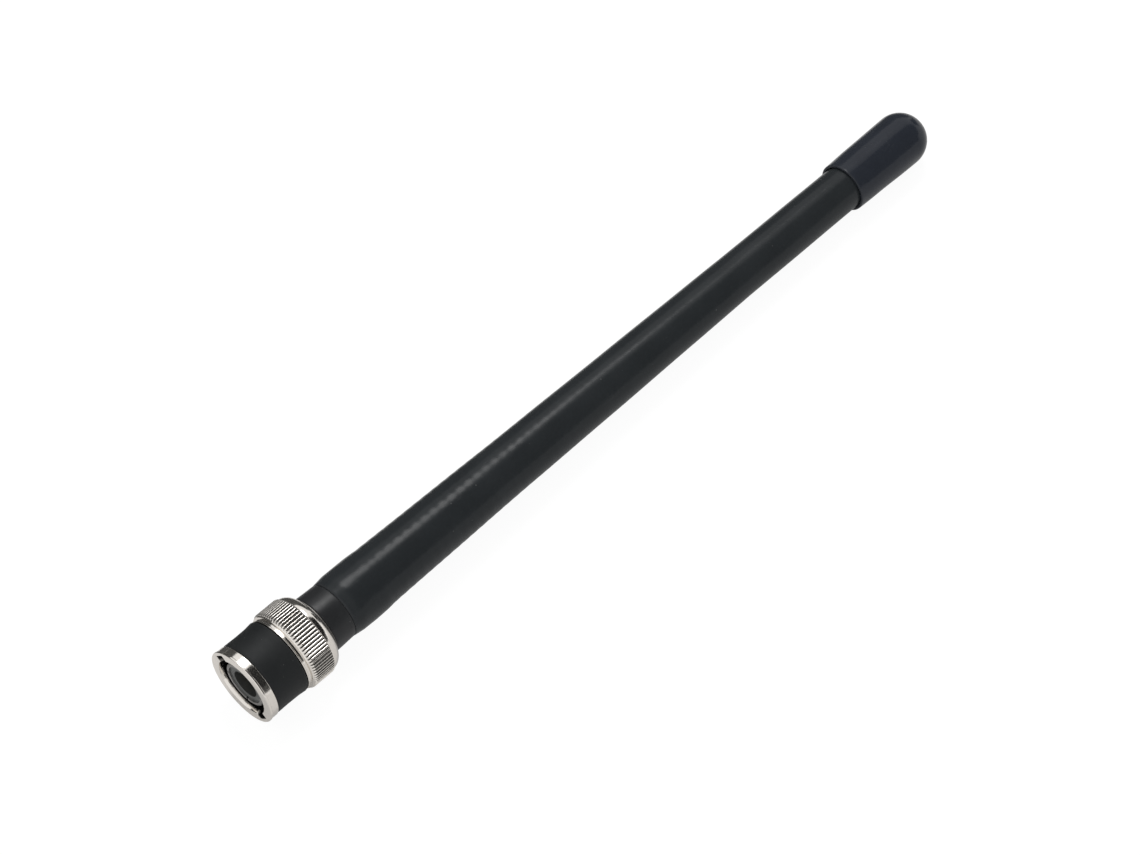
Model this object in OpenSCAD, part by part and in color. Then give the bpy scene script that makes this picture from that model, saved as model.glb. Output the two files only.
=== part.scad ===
// Flexible whip antenna for a handheld radio, on a quick-turn bayonet plug.
// Each piece is drawn along +Z from the front face of the coupling nut, and lie() then lays it
// along +X, so the origin is the centre of the plug's mouth and the whip runs towards +X.

/* [Bayonet mouth] */
// Diameter of the bore that takes the jack's shell
bore_d = 9.8; // [9.7:0.05:10]
// Width of the chamfer round the mouth, on the radius
mouth_chamfer = 0.2; // [0.1:0.05:0.3]
// Outside diameter of the front ring
ring_d = 13.2; // [13:0.1:13.6]
// Length of the front ring
ring_len = 2.1; // [1.9:0.1:2.6]
// Length of the rounded bead at the front of the ring
bead_len = 0.4; // [0.35:0.05:0.8]
// Height of the bead over the ring
bead_proud = 0.1; // [0.05:0.05:0.2]
// Width of the two entry notches for the jack's lugs
lug_slot_w = 2.2; // [2.1:0.05:2.6]
// Radius to the floor of the entry notches
notch_r = 5.9; // [5.7:0.05:6]
// Roll of the entry notches about the plug's axis, in degrees
notch_roll = 132; // [0:1:179]
// Distance from the front face to the middle of the ramp where the lugs enter it
ramp_start = 3.8; // [3.7:0.1:4.2]
// Distance that the ramp draws the lugs in
ramp_rise = 1.6; // [1:0.1:1.9]
// Turn that locks the bayonet, in degrees
ramp_turn = 80; // [60:5:95]
// Distance that the lugs drop back into the detents at the ramp's end
detent_drop = 0.4; // [0.2:0.1:0.6]

/* [Nut sleeve] */
// Length of the black sleeve over the bayonet ramps
sleeve_len = 5.4; // [5.2:0.1:5.8]
// Wall of the sleeve
sleeve_wall = 0.6; // [0.4:0.05:0.7]

/* [Knurled grip] */
// Diameter over the ribs
knurl_d = 14.2; // [14:0.1:14.6]
// Length of the ribs
knurl_len = 3.8; // [3.5:0.1:5]
// Number of ribs
rib_count = 77; // [60:1:90]
// Depth of the grooves between the ribs
rib_depth = 0.24; // [0.15:0.01:0.3]
// Length of the neck and shoulder between the sleeve and the ribs
shoulder_len = 1.5; // [1.3:0.1:2]
// Depth of the waisted neck in front of the shoulder
waist_depth = 0.12; // [0.05:0.01:0.2]
// Length of the rounded tail behind the ribs
tail_len = 2.1; // [1.6:0.1:2.8]
// Length of the plain lip at the back of the nut
tail_lip_len = 0.2; // [0.1:0.05:0.4]
// Diameter of the plain lip at the back of the nut
tail_lip_d = 11; // [10.8:0.1:11.6]

/* [Plug body] */
// Depth of the mouth down to the gasket
mouth_depth = 7.4; // [7:0.1:7.6]
// Length of the plug's head
head_len = 1.8; // [1.5:0.1:2]
// Outside diameter of the hollow stem behind the head
stem_d = 8.1; // [7.8:0.05:8.2]
// Bore of the stem
stem_bore_d = 6; // [5.6:0.1:6.4]
// Distance from the front face of the nut to the back end of the stem
stem_end = 24; // [22.5:0.1:24.2]

/* [Washers and gasket] */
// Thickness of the flat thrust washer
thrust_t = 0.4; // [0.3:0.05:0.5]
// Thickness of the wave washer's strip
wave_t = 0.25; // [0.2:0.01:0.3]
// Height over the waves of the wave washer
wave_h = 1.68; // [1.4:0.02:1.8]
// Number of waves round the wave washer
wave_count = 3; // [3:1:5]
// Width of both washers' rings
washer_w = 0.6; // [0.5:0.05:0.65]
// Thickness of the face gasket
gasket_t = 0.8; // [0.5:0.1:1.2]

/* [Contacts] */
// Diameter of the outer contact, which enters the jack's shell
contact_d = 8.1; // [8:0.02:8.2]
// Wall of the outer contact
contact_wall = 0.6; // [0.5:0.05:0.65]
// Diameter of the outer contact's root, inside the gasket
contact_root_d = 8.5; // [8.3:0.05:8.6]
// Setback of the outer contact's tips behind the front face of the nut
contact_setback = 0.6; // [0.4:0.1:1]
// Number of spring slots in the outer contact
contact_slots = 4; // [3:1:6]
// Width of the spring slots
contact_slot_w = 0.3; // [0.2:0.05:0.5]
// Length of the spring slots
contact_slot_len = 4.6; // [3.5:0.1:5.5]
// Wall of the spigot that presses into the plug's head
spigot_wall = 0.4; // [0.3:0.05:0.45]
// Length of the spigot that presses into the plug's head
spigot_len = 1.5; // [1.2:0.1:1.6]
// Diameter of the centre pin
pin_d = 1.35; // [1.3:0.01:1.4]
// Distance from the front face of the nut to the pin's tip
pin_tip = 2; // [1.6:0.1:2.6]
// Diameter of the pin's root, where it passes the front insulator's web
pin_root_d = 1.9; // [1.6:0.1:2]
// Length of the pin's root that stands in front of the web
pin_root_show = 0.2; // [0.1:0.05:0.4]
// Diameter of the collar that holds the pin between the insulators
pin_collar_d = 2.6; // [2.2:0.1:3]
// Length of the pin's collar
pin_collar_len = 1.3; // [1:0.1:1.5]
// Diameter of the pin's shank behind its collar
pin_shank_d = 1.6; // [1.4:0.05:1.8]
// Length of the pin's shank behind its collar
pin_shank_len = 4; // [3.5:0.1:4.5]

/* [Insulators] */
// Setback of the front insulator behind the outer contact's tips
insulator_setback = 0.25; // [0.1:0.05:0.5]
// Diameter of the well round the pin
well_d = 4.9; // [4.8:0.05:5]
// Thickness of the web that carries the pin
web_t = 1.5; // [1:0.1:2]
// Length of the rear insulator that closes round the pin's shank
shank_hold_len = 2.7; // [2.2:0.1:3]
// Thickness of the rear insulator's flange
rear_flange_t = 0.5; // [0.4:0.05:0.8]

/* [Base] */
// Diameter of the black neck where it meets the nut
neck_d = 10.3; // [10:0.1:10.6]
// Diameter of the neck at the jacket's edge
neck_end_d = 10; // [9.8:0.1:10.1]
// Length of the neck that shows
neck_len = 4.1; // [3.5:0.1:5]
// Length of the rebate under the jacket
rebate_len = 7.1; // [6.6:0.1:7.3]
// Diameter of the stud that feeds the coil
stud_d = 3; // [2.4:0.1:3.4]
// Depth of the sockets in the two ends of the stud
socket_depth = 1.6; // [1.4:0.1:2]
// Length of the stud's boss that carries the first turns of the coil
boss_len = 5.4; // [4.8:0.1:6]
// Wall of the shrink ring under the jacket's flare
flare_ring_wall = 0.18; // [0.12:0.01:0.24]
// Length of the shrink ring under the jacket's flare
flare_ring_len = 3.6; // [3:0.1:4]
// Distance from the jacket's edge to the shrink ring
flare_ring_offset = 2.8; // [2.4:0.1:3]

/* [Coil and core] */
// Diameter of the coil's wire
wire_d = 0.9; // [0.7:0.05:1.1]
// Pitch of the coil
coil_pitch = 1.95; // [1.5:0.05:2]
// Number of turns of the coil
coil_turns = 42; // [30:1:42]
// Length of the spigot at the foot of the core
core_spigot_len = 1.4; // [1:0.1:1.4]

/* [Jacket] */
// Diameter over the jacket where its taper starts, over the foot of the coil
jacket_foot_d = 10.2; // [10:0.1:10.6]
// Diameter over the jacket at the knee of its taper
jacket_knee_d = 9.2; // [9:0.1:9.6]
// Diameter over the jacket where the taper ends
jacket_top_d = 8.1; // [8:0.1:8.6]
// Wall of the jacket
jacket_wall = 0.4; // [0.3:0.05:0.45]
// Height of the jacket's edge over the neck
jacket_edge_step = 0.05; // [0.02:0.01:0.08]
// Distance from the front face of the nut to the start of the taper
foot_z = 29; // [28.5:0.5:31]
// Distance from the front face of the nut to the knee of the taper
knee_z = 58; // [55:1:62]
// Distance from the front face of the nut to the end of the taper
top_z = 113; // [100:1:125]
// Distance from the front face of the nut to the tip of the end cap
whip_len = 161.5; // [159:0.5:175]

/* [End cap] */
// Length of the slip-on end cap
cap_len = 20.5; // [18:0.5:24]
// Wall of the cap at its open rim, over the jacket
cap_rim_wall = 0.55; // [0.45:0.05:0.75]
// Wall of the cap at its domed end, over the jacket
cap_dome_wall = 0.9; // [0.75:0.05:1.15]
// Rounding of the cap's open rim
cap_rim_round = 0.2; // [0.1:0.05:0.25]

/* [Fits] */
// Radial clearance of what turns or slides
run_gap = 0.1; // [0.05:0.01:0.12]
// Clearance of what is pressed, glued or shrunk in place
seat_gap = 0.03; // [0.02:0.01:0.05]
// Gap between the back of the nut and the neck
nut_end_gap = 0.15; // [0.1:0.05:0.3]

/* [Hidden] */
$fn = 96;
over = 0.5;

nickel = "#c9c4bb";
black_rubber = "#1b1c1e";
black_neck = "#26282c";
black_jacket = "#15171a";
black_vinyl = "#1c2026";
spring_steel = "#9a9a96";
bronze = "#b08a4e";
gold = "#d9b45a";
natural_resin = "#e4e1d8";
silicone = "#8e3b32";
copper = "#b8734a";

// Stations along the plug, all measured from the front face of the nut
sleeve_end = ring_len + sleeve_len;
knurl_start = sleeve_end + shoulder_len;
knurl_end = knurl_start + knurl_len;
nut_len = knurl_end + tail_len + tail_lip_len;
head_z = mouth_depth + gasket_t + seat_gap;
head_end = head_z + head_len;
spigot_end = head_z + spigot_len;
insulator_z = contact_setback + insulator_setback;
neck_z = nut_len + nut_end_gap;
jacket_z = neck_z + neck_len;
collar_end = jacket_z + rebate_len;
ring_foot_z = jacket_z + flare_ring_offset;
ring_foot_end = ring_foot_z + flare_ring_len;

// Radii that fit the pieces to each other
ring_r = ring_d / 2;
recess_r = ring_r - sleeve_wall - seat_gap;
knurl_r = knurl_d / 2;
root_r = knurl_r - rib_depth;
stem_r = stem_d / 2;
head_r = bore_d / 2 - run_gap;
stem_bore_r = stem_bore_d / 2;
contact_r = contact_d / 2;
contact_bore_r = contact_r - contact_wall;
contact_root_r = contact_root_d / 2;
spigot_r = contact_bore_r + spigot_wall;
pin_r = pin_d / 2;
pin_root_r = pin_root_d / 2;
pin_collar_r = pin_collar_d / 2;
pin_shank_r = pin_shank_d / 2;
stud_r = stud_d / 2;
washer_r = head_r - seat_gap;
rebate_r = neck_end_d / 2 + jacket_edge_step - jacket_wall - seat_gap;

// Washers behind the head, and the inner flange that keeps the nut on the plug
wave_z = head_end + seat_gap;
thrust_z = wave_z + wave_h + seat_gap;
flange_z = thrust_z + thrust_t + seat_gap;

// Insulators, pin and stud
insulator_end = spigot_end - seat_gap;
web_end = insulator_end - pin_collar_len;
well_end = web_end - web_t;
pin_collar_z = web_end + seat_gap;
rear_insulator_z = insulator_end + seat_gap;
pin_collar_end = rear_insulator_z - seat_gap;
pin_end = pin_collar_end + pin_shank_len;
shank_hold_end = rear_insulator_z + shank_hold_len;
rear_flange_z = stem_end + seat_gap;
boss_z = rear_flange_z + rear_flange_t + seat_gap;
boss_end = boss_z + boss_len;

// Whip: everything under the jacket follows the jacket's outline
cap_rim_r = jacket_top_d / 2 + cap_rim_wall;
cap_dome_r = jacket_top_d / 2 + cap_dome_wall;
cap_bore_r = jacket_top_d / 2 + seat_gap;
cap_z = whip_len - cap_len;
jacket_end = whip_len - cap_dome_r;
core_setback = 1;
core_z = boss_end + seat_gap;
core_end = jacket_end - core_setback;
coil_z = collar_end + seat_gap + wire_d / 2;
coil_end = coil_z + coil_turns * coil_pitch + wire_d / 2;
coil_sides = 6;
coil_steps = 14;

function jacket_r(z) = lookup(z, [[foot_z, jacket_foot_d / 2], [knee_z, jacket_knee_d / 2],
                                  [top_z, jacket_top_d / 2]]);
function coil_outer_r(z) = jacket_r(z) - jacket_wall - 2 * seat_gap;
function coil_mid_r(z) = coil_outer_r(z) - wire_d / 2;
// The core clears the straight chords that stand for the coil's turns
function core_r(z) = coil_mid_r(z) * cos(180 / coil_steps) - wire_d / 2 - 2 * seat_gap;
// Points of an arc about [r, z], from one angle to another
function arc(centre, radius, from, to, steps = 5) =
    [for (i = [0:steps]) let (a = from + (to - from) * i / steps)
        centre + radius * [cos(a), sin(a)]];
// Points of a smooth step in radius between two heights
function blend(z0, r0, z1, r1, steps = 6) =
    [for (i = [0:steps]) let (t = i / steps)
        [r0 + (r1 - r0) * (3 - 2 * t) * t * t, z0 + (z1 - z0) * t]];

// Lays a piece that was drawn along +Z along +X
module lie() {
    rotate([0, 90, 0]) children();
}

// A tube between two heights, open at both ends
module tube(outer, inner, from, to) {
    translate([0, 0, from]) difference() {
        cylinder(r = outer, h = to - from);
        translate([0, 0, -over]) cylinder(r = inner, h = to - from + 2 * over);
    }
}

// The nut's turned outline, without ribs and bore. The tail is an arc that leaves the ribs' roots
// along the axis and ends at the lip.
module nut_blank() {
    bead_r = ring_r + bead_proud;
    bead_round = 0.2;
    waist_r = ring_r - waist_depth;
    collar_len = 0.25;
    waist_step = 0.15;
    waist_z = sleeve_end + collar_len + waist_step;
    tail_lip_r = tail_lip_d / 2;
    tail_drop = root_r - tail_lip_r;
    tail_round = (tail_len * tail_len + tail_drop * tail_drop) / (2 * tail_drop);
    rotate_extrude() polygon(concat(
        [[0, 0]],
        arc([bead_r - bead_round, bead_round], bead_round, -90, 0),
        [[bead_r, bead_len - bead_proud], [ring_r, bead_len], [ring_r, ring_len],
         [recess_r, ring_len], [recess_r, sleeve_end],
         [ring_r, sleeve_end], [ring_r, sleeve_end + collar_len],
         [waist_r, waist_z], [waist_r, sleeve_end + shoulder_len / 2],
         [root_r, knurl_start]],
        arc([root_r - tail_round, knurl_end], tail_round, 0, asin(tail_len / tail_round), 8),
        [[tail_lip_r, nut_len], [0, nut_len]]));
}

// Outline of the ribs: one flat-topped rib at each step round the grip
module rib_outline() {
    pitch = 360 / rib_count;
    foot_share = 0.36;
    top_share = 0.22;
    polygon([for (i = [0:rib_count - 1]) for (corner = [[root_r, -foot_share], [knurl_r, -top_share],
                                                        [knurl_r, top_share], [root_r, foot_share]])
        let (a = (i + corner[1]) * pitch) corner[0] * [cos(a), sin(a)]]);
}

// The straight knurl, with its ribs run out at both ends
module knurl() {
    run_in = rib_depth / 2;
    intersection() {
        translate([0, 0, knurl_start]) linear_extrude(knurl_len) rib_outline();
        rotate_extrude() polygon([
            [0, knurl_start], [root_r, knurl_start], [knurl_r, knurl_start + run_in],
            [knurl_r, knurl_end - rib_depth], [root_r, knurl_end], [0, knurl_end]]);
    }
}

// The way of one lug: the entry notch, the helical ramp and the detent at its end
module lug_track() {
    inner = bore_d / 2 - run_gap;
    outer = ring_r + over;
    steps = 16;
    half_w = lug_slot_w / 2;
    // Corners of the ramp's cutter at one step along the helix
    function section(i) = let (a = ramp_turn * i / steps, z = ramp_start + ramp_rise * i / steps)
        [[inner * cos(a), inner * sin(a), z - half_w], [outer * cos(a), outer * sin(a), z - half_w],
         [outer * cos(a), outer * sin(a), z + half_w], [inner * cos(a), inner * sin(a), z + half_w]];
    translate([0, -half_w, -over]) cube([notch_r, lug_slot_w, ramp_start + over]);
    rotate([0, 90, 0]) translate([-ramp_start, 0, inner])
        cylinder(d = lug_slot_w, h = outer - inner, $fn = 32);
    polyhedron(
        points = [for (i = [0:steps]) each section(i)],
        faces = concat(
            [[0, 1, 2, 3], [for (k = [3:-1:0]) 4 * steps + k]],
            [for (i = [0:steps - 1]) for (k = [0:3]) let (b = 4 * i, n = (k + 1) % 4)
                each [[b + k, b + 4 + k, b + 4 + n], [b + k, b + 4 + n, b + n]]]));
    rotate([0, 0, ramp_turn]) rotate([0, 90, 0])
        translate([-(ramp_start + ramp_rise), 0, inner])
            cylinder(d = lug_slot_w, h = outer - inner, $fn = 32);
    rotate([0, 0, ramp_turn]) rotate([0, 90, 0])
        translate([-(ramp_start + ramp_rise - detent_drop), 0, inner])
            cylinder(d = lug_slot_w, h = outer - inner, $fn = 32);
}

module coupling_nut() {
    lie() color(nickel) difference() {
        union() {
            nut_blank();
            knurl();
        }
        translate([0, 0, -over]) cylinder(d = bore_d, h = flange_z + over);
        cylinder(r = stem_r + run_gap, h = nut_len + over);
        translate([0, 0, -over])
            cylinder(r1 = bore_d / 2 + mouth_chamfer + over, r2 = bore_d / 2,
                     h = mouth_chamfer + over);
        for (side = [0, 180]) rotate([0, 0, notch_roll + side]) lug_track();
    }
}

module nut_sleeve() {
    lie() color(black_rubber)
        tube(ring_r, recess_r + seat_gap, ring_len + seat_gap, sleeve_end - seat_gap);
}

module thrust_washer() {
    lie() color(spring_steel)
        tube(washer_r, washer_r - washer_w, thrust_z, thrust_z + thrust_t);
}

// A ring of strip that rises and falls between the head and the thrust washer
module wave_washer() {
    steps = 16 * wave_count;
    lift = (wave_h - wave_t) / 2;
    inner = washer_r - washer_w;
    function strip(i) = let (a = 360 * i / steps,
                             z = wave_z + lift * (1 + sin(wave_count * a)))
        [[inner * cos(a), inner * sin(a), z], [washer_r * cos(a), washer_r * sin(a), z],
         [washer_r * cos(a), washer_r * sin(a), z + wave_t],
         [inner * cos(a), inner * sin(a), z + wave_t]];
    lie() color(spring_steel) polyhedron(
        points = [for (i = [0:steps - 1]) each strip(i)],
        faces = [for (i = [0:steps - 1]) for (k = [0:3])
            let (b = 4 * i, c = 4 * ((i + 1) % steps), n = (k + 1) % 4)
                each [[b + k, c + k, c + n], [b + k, c + n, b + n]]]);
}

module plug_body() {
    lie() color(nickel) difference() {
        union() {
            translate([0, 0, head_z]) cylinder(r = head_r, h = head_len);
            translate([0, 0, head_z]) cylinder(r = stem_r, h = stem_end - head_z);
        }
        translate([0, 0, head_z - over]) cylinder(r = spigot_r + seat_gap, h = spigot_len + over);
        translate([0, 0, head_z]) cylinder(r = stem_bore_r, h = stem_end - head_z + over);
    }
}

// The slotted contact: its root seats on the head inside the gasket, and its spigot presses in
module outer_contact() {
    step_z = head_z - seat_gap;
    tip_round = 0.15;
    lie() color(nickel) difference() {
        union() {
            translate([0, 0, contact_setback + tip_round])
                cylinder(r = contact_r, h = step_z - contact_setback - tip_round);
            translate([0, 0, contact_setback])
                cylinder(r1 = contact_r - tip_round, r2 = contact_r, h = tip_round);
            translate([0, 0, mouth_depth]) cylinder(r = contact_root_r, h = step_z - mouth_depth);
            translate([0, 0, step_z]) cylinder(r = spigot_r, h = spigot_end - step_z - seat_gap);
        }
        translate([0, 0, contact_setback - over]) cylinder(r = contact_bore_r, h = spigot_end);
        for (i = [0:contact_slots - 1]) rotate([0, 0, notch_roll + (i + 0.5) * 360 / contact_slots])
            translate([0, -contact_slot_w / 2, contact_setback - over])
                cube([contact_r + over, contact_slot_w, contact_slot_len + over]);
    }
}

module face_gasket() {
    lie() color(silicone)
        tube(head_r - seat_gap, contact_root_r + seat_gap, mouth_depth, mouth_depth + gasket_t);
}

module front_insulator() {
    lie() color(natural_resin) difference() {
        translate([0, 0, insulator_z])
            cylinder(r = contact_bore_r - seat_gap, h = insulator_end - insulator_z);
        translate([0, 0, insulator_z - over]) cylinder(d = well_d, h = well_end - insulator_z + over);
        translate([0, 0, well_end - over])
            cylinder(r = pin_root_r + seat_gap, h = web_t + 2 * over);
        translate([0, 0, web_end]) cylinder(r = pin_collar_r + seat_gap, h = insulator_end);
    }
}

module centre_pin() {
    tip_r = 0.3;
    tip_len = 0.55;
    root_z = well_end - pin_root_show;
    lie() color(gold) rotate_extrude() polygon([
        [0, pin_tip], [tip_r, pin_tip], [pin_r, pin_tip + tip_len], [pin_r, root_z],
        [pin_root_r, root_z], [pin_root_r, pin_collar_z], [pin_collar_r, pin_collar_z],
        [pin_collar_r, pin_collar_end], [pin_shank_r, pin_collar_end], [pin_shank_r, pin_end],
        [0, pin_end]]);
}

// The tube that keeps the pin's shank and the stud clear of the stem, with a flange behind it
module rear_insulator() {
    lie() color(natural_resin) difference() {
        union() {
            translate([0, 0, rear_insulator_z])
                cylinder(r = stem_bore_r - seat_gap, h = rear_flange_z - rear_insulator_z);
            translate([0, 0, rear_flange_z]) cylinder(r = stem_r - seat_gap, h = rear_flange_t);
        }
        translate([0, 0, rear_insulator_z - over])
            cylinder(r = pin_shank_r + seat_gap, h = shank_hold_len + 2 * over);
        translate([0, 0, shank_hold_end])
            cylinder(r = stud_r + seat_gap, h = boss_z - shank_hold_end + over);
    }
}

// The moulded neck, with a rebate that the jacket and its flare ring are shrunk on
module base_collar() {
    edge = 0.25;
    lie() color(black_neck) difference() {
        rotate_extrude() polygon([
            [0, neck_z], [neck_d / 2 - edge, neck_z], [neck_d / 2, neck_z + edge],
            [neck_end_d / 2, jacket_z - seat_gap], [rebate_r, jacket_z - seat_gap],
            [rebate_r, collar_end], [0, collar_end]]);
        translate([0, 0, neck_z - over]) cylinder(r = stem_r + seat_gap, h = collar_end);
    }
}

// The stud: a socket for the pin's shank in front, and a boss with a socket for the core behind
module feed_stud() {
    boss_r = core_r(foot_z);
    lie() color(bronze) difference() {
        union() {
            translate([0, 0, shank_hold_end + seat_gap])
                cylinder(r = stud_r, h = boss_z - shank_hold_end);
            translate([0, 0, boss_z]) cylinder(r = boss_r, h = boss_len);
        }
        translate([0, 0, shank_hold_end - over])
            cylinder(r = pin_shank_r + seat_gap, h = socket_depth + over);
        translate([0, 0, boss_end - socket_depth])
            cylinder(r = stud_r + seat_gap, h = socket_depth + over);
    }
}

module flare_ring() {
    lie() color(black_jacket)
        tube(rebate_r + seat_gap + flare_ring_wall, rebate_r + seat_gap, ring_foot_z, ring_foot_end);
}

// The coil: a ring of corners round the wire at each step along the helix, which follows the
// jacket's taper. The first turns close on the stud's boss, and the last ends below the head
// of the core.
module helical_coil() {
    steps = coil_turns * coil_steps;
    function ring(i) =
        let (a = 360 * i / coil_steps, z = coil_z + coil_pitch * i / coil_steps, r = coil_mid_r(z))
        [for (k = [0:coil_sides - 1])
            let (b = 360 * k / coil_sides, out = r + wire_d / 2 * cos(b))
                [out * cos(a), out * sin(a), z + wire_d / 2 * sin(b)]];
    lie() color(copper) polyhedron(
        points = [for (i = [0:steps]) each ring(i)],
        faces = concat(
            [[for (k = [0:coil_sides - 1]) k]],
            [[for (k = [coil_sides - 1:-1:0]) coil_sides * steps + k]],
            [for (i = [0:steps - 1]) for (k = [0:coil_sides - 1])
                let (b = coil_sides * i, n = (k + 1) % coil_sides, c = b + coil_sides)
                    each [[b + k, c + k, c + n], [b + k, c + n, b + n]]]));
}

// The core: a spigot in the stud, a tapered shank inside the coil and a head that fills the
// jacket above it
module coil_core() {
    shank_end = coil_end + seat_gap;
    head_r = jacket_top_d / 2 - jacket_wall - seat_gap;
    lie() color(natural_resin) rotate_extrude() polygon([
        [0, core_z - core_spigot_len], [stud_r, core_z - core_spigot_len], [stud_r, core_z],
        [core_r(core_z), core_z], [core_r(knee_z), knee_z], [core_r(shank_end), shank_end],
        [head_r, shank_end], [head_r, core_end], [0, core_end]]);
}

// Outline of the jacket at a distance inside its outer face
function jacket_outline(inset) =
    let (edge_r = neck_end_d / 2 + jacket_edge_step - inset,
         flare_r = rebate_r + 2 * seat_gap + flare_ring_wall + jacket_wall - inset)
    concat(
        blend(jacket_z, edge_r, ring_foot_z - 2 * seat_gap, flare_r),
        blend(ring_foot_end + 2 * seat_gap, flare_r, foot_z, jacket_r(foot_z) - inset),
        [[jacket_r(knee_z) - inset, knee_z], [jacket_r(top_z) - inset, top_z],
         [jacket_r(jacket_end) - inset, jacket_end]]);

module whip_jacket() {
    inner = jacket_outline(jacket_wall);
    lie() color(black_jacket) rotate_extrude() polygon(concat(
        jacket_outline(0), [for (i = [len(inner) - 1:-1:0]) inner[i]]));
}

module end_cap() {
    lie() color(black_vinyl) difference() {
        union() {
            rotate_extrude() polygon(concat(
                [[0, cap_z]],
                arc([cap_rim_r - cap_rim_round, cap_z + cap_rim_round], cap_rim_round, -90, 0),
                [[cap_dome_r, jacket_end], [0, jacket_end]]));
            translate([0, 0, jacket_end]) sphere(r = cap_dome_r);
        }
        translate([0, 0, cap_z - over]) cylinder(r = cap_bore_r, h = jacket_end - cap_z + over);
        translate([0, 0, jacket_end]) sphere(r = cap_bore_r);
    }
}

coupling_nut();
nut_sleeve();
thrust_washer();
wave_washer();
plug_body();
outer_contact();
face_gasket();
front_insulator();
centre_pin();
rear_insulator();
base_collar();
feed_stud();
flare_ring();
helical_coil();
coil_core();
whip_jacket();
end_cap();
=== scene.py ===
"""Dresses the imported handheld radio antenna: camera, studio, finishes and detailed pieces.

Every class holds its sizes in millimetres as they stand in the part's source, and its meshes are in
metres. The origin is the centre of the plug's mouth and the whip runs along +X.
"""
import logging
import math
from dataclasses import dataclass
from enum import Enum
from typing import Any, Callable, Dict, Iterable, List, Optional, Sequence, Tuple

import bpy
import numpy as np
from mathutils import Matrix, Vector


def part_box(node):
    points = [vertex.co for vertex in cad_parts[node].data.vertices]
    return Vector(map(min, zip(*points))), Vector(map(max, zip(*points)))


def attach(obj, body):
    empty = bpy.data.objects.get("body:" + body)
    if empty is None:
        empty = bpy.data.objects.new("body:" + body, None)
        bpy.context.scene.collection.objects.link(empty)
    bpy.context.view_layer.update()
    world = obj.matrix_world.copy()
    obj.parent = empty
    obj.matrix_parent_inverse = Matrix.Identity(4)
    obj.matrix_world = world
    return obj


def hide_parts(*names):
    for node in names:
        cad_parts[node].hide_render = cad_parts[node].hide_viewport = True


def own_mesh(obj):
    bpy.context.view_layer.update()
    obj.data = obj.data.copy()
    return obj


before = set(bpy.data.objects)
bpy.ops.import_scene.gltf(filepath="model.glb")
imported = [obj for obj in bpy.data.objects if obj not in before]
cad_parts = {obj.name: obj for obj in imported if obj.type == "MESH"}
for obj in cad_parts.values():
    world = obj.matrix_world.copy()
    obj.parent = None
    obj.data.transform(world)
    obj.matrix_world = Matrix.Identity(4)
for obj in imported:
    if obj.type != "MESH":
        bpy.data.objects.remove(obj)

log = logging.getLogger("antenna")

MM = 0.001
Profile = List[Tuple[float, float]]
Colour = Tuple[float, float, float]


class Body(Enum):
    """The CAD bodies that pieces ride on."""

    WHIP = "whip"
    THRUST_RING = "thrust_ring"
    NUT = "nut"


class Slot(Enum):
    """The record's material slots, one for each new piece."""

    NICKEL = "nickel"
    SLEEVE_RUBBER = "sleeve_rubber"
    NECK_PLASTIC = "neck_plastic"
    SHRINK_TUBE = "shrink_tube"
    VINYL = "vinyl"
    SPRING = "spring_steel"


# ---------------------------------------------------------------- surfaces

def smoothstep(t: np.ndarray) -> np.ndarray:
    """Eases 0 to 1: 3t² - 2t³, held flat outside that span."""
    t = np.clip(t, 0.0, 1.0)
    return t * t * (3.0 - 2.0 * t)


def rounded(corners: Profile, radius: float, steps: int = 5) -> np.ndarray:
    """Rounds every inner corner of a broken line with an arc of that radius.

    At a corner the arc starts and ends at radius * tan(turn / 2) before and after it, and no further
    than 45 % of the shorter side. Its points follow the quadratic through the corner's three points.

    Args:
        corners: points (along, radius) in mm, in order.
        radius: the arc's radius in mm.
        steps: pieces of each arc.

    Returns:
        The new line, an array of shape (n, 2).
    """
    pts = np.asarray(corners, float)
    out = [pts[0]]
    t = np.linspace(0.0, 1.0, steps + 1)[:, None]
    for before, here, after in zip(pts[:-2], pts[1:-1], pts[2:]):
        a, b = before - here, after - here
        la, lb = np.linalg.norm(a), np.linalg.norm(b)
        turn = math.pi - math.acos(np.clip(a @ b / (la * lb), -1.0, 1.0))
        reach = min(radius * math.tan(turn / 2), 0.45 * la, 0.45 * lb)
        p, q = here + a / la * reach, here + b / lb * reach
        out.extend((1 - t) ** 2 * p + 2 * t * (1 - t) * here + t ** 2 * q)
    out.append(pts[-1])
    return np.asarray(out)


def refined(line: np.ndarray, longest: float) -> np.ndarray:
    """Splits each side of a line so that none is longer than a length.

    Args:
        line: points of shape (n, 2).
        longest: longest side in mm.

    Returns:
        The line with points added on its sides.
    """
    out = [line[:1]]
    for p, q in zip(line[:-1], line[1:]):
        n = max(1, int(math.ceil(np.linalg.norm(q - p) / longest)))
        out.append(p + (q - p) * (np.arange(1, n + 1) / n)[:, None])
    return np.concatenate(out)


def turned(along: np.ndarray, radius: np.ndarray, angle: np.ndarray) -> np.ndarray:
    """Carries radii round the X axis: a point is (x, r sin a, -r cos a).

    Args:
        along: x of each point in mm, broadcast to a grid of rows and columns.
        radius: r of each point in mm, on the same grid.
        angle: a of each column in radians.

    Returns:
        Points in metres, of shape (rows * columns, 3).
    """
    along, radius, angle = np.broadcast_arrays(along, radius, angle)
    grid = np.stack([along, radius * np.sin(angle), -radius * np.cos(angle)], axis=-1)
    return grid.reshape(-1, 3) * MM


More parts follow.
